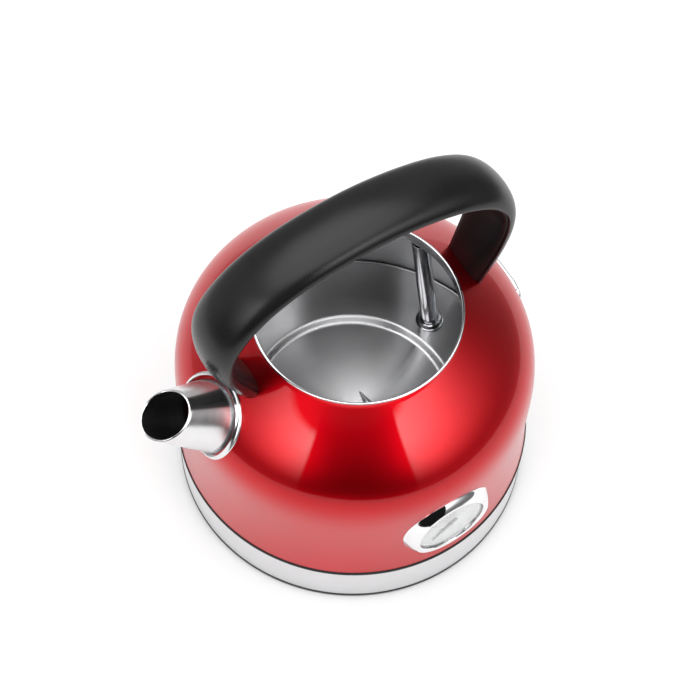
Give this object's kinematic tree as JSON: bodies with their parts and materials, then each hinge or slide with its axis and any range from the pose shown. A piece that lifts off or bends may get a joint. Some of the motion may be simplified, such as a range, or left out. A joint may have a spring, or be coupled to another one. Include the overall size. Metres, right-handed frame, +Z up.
{
  "type": "cordless electric dome kettle",
  "caption": "Round dome kettle with a steel base band, fixed arch handle, cone spout, dial thermometer, steam tube, heated floor and central power connector.",
  "frame": {"origin": "on the kettle's vertical axis, in the plane that its feet stand on; the contact pin's end face is 1.2 mm above it", "axes": "+Z up along the kettle's axis; +X towards the back, where the switch lever is, so that the spout points to -X; the thermometer faces -Y"},
  "size_m": [0.2031, 0.1714, 0.2063],
  "materials": {
    "red_lacquer": "candy red metallic lacquer under a clear coat, glossy",
    "brushed_steel": "finely brushed stainless steel",
    "polished_steel": "polished stainless steel",
    "zinc_plated_steel": "zinc plated",
    "handle_black": "satin black moulding",
    "black_plastic": "fine textured black moulding",
    "black_rubber": "matt black rubber",
    "silicone": "translucent grey silicone",
    "trip_white": "off-white moulding",
    "aluminium": "rolled and brazed, dull",
    "brass": "bright contact brass",
    "bimetal_copper": "copper-coloured strip",
    "dial_grey": "pale grey satin enamel, blank",
    "pointer_dark": "dark grey enamel",
    "clear_glass": "flat polished glass",
    "clear_window": "clear moulded lens"
  },
  "bodies": {
    "kettle": {"dome_body": "red_lacquer", "mouth_ring": "brushed_steel", "kettle_floor": "brushed_steel", "base_band": "brushed_steel", "spout_tube": "brushed_steel", "spout_flange": "brushed_steel", "spout_strainer": "brushed_steel", "steam_tube_collar": "brushed_steel", "gauge_case": "brushed_steel", "gauge_bezel": "polished_steel", "window_frame": "polished_steel", "steam_tube": "polished_steel", "gauge_stem": "polished_steel", "gauge_nut": "polished_steel", "base_screw_1": "zinc_plated_steel", "base_screw_2": "zinc_plated_steel", "base_screw_3": "zinc_plated_steel", "handle_mount_front": "zinc_plated_steel", "handle_mount_rear": "zinc_plated_steel", "handle_screw_front_left": "zinc_plated_steel", "handle_screw_front_right": "zinc_plated_steel", "handle_screw_rear_left": "zinc_plated_steel", "handle_screw_rear_right": "zinc_plated_steel", "lever_pin": "zinc_plated_steel", "trip_pin": "zinc_plated_steel", "handle_shell": "handle_black", "handle_cover": "handle_black", "base_cover": "black_plastic", "power_controller": "black_plastic", "steam_switch_housing": "black_plastic", "switch_bezel": "black_plastic", "body_seal": "black_rubber", "foot_1": "black_rubber", "foot_2": "black_rubber", "foot_3": "black_rubber", "gauge_seal": "black_rubber", "window_seal": "silicone", "steam_tube_seal": "silicone", "handle_washer_front": "silicone", "handle_washer_rear": "silicone", "diffuser_plate": "aluminium", "heating_element": "aluminium", "contact_pin": "brass", "neutral_ring": "brass", "earth_ring": "brass", "element_terminal_left": "bimetal_copper", "element_terminal_right": "bimetal_copper", "dry_boil_disc_left": "bimetal_copper", "dry_boil_disc_right": "bimetal_copper", "steam_disc": "bimetal_copper", "bimetal_coil": "bimetal_copper", "gauge_dial": "dial_grey", "gauge_glass": "clear_glass", "window_glass": "clear_window"},
    "lever": {"switch_lever": "black_plastic"},
    "trip": {"trip_lever": "trip_white"},
    "pointer": {"gauge_pointer": "pointer_dark", "pointer_shaft": "brass"}
  },
  "joints": [
    {"name": "lever_press", "type": "hinge", "parent": "kettle", "child": "lever", "pos_m": [0.075, 0, 0.0135], "axis": [0, 1, 0], "range_deg": [0, 14]},
    {"name": "trip_swing", "type": "hinge", "parent": "kettle", "child": "trip", "pos_m": [0.056, 0, 0.0135], "axis": [0, 1, 0], "range_deg": [-15.6, 0]},
    {"name": "pointer_turn", "type": "hinge", "parent": "kettle", "child": "pointer", "pos_m": [0, -0.085, 0.0583], "axis": [0, 1, 0], "range_deg": [0, 270], "stiffness_Nm_per_rad": 0.0005}
  ],
  "couplings": [
    {"joint": "trip_swing", "follows": "lever_press", "ratio": -1.1111}
  ]
}
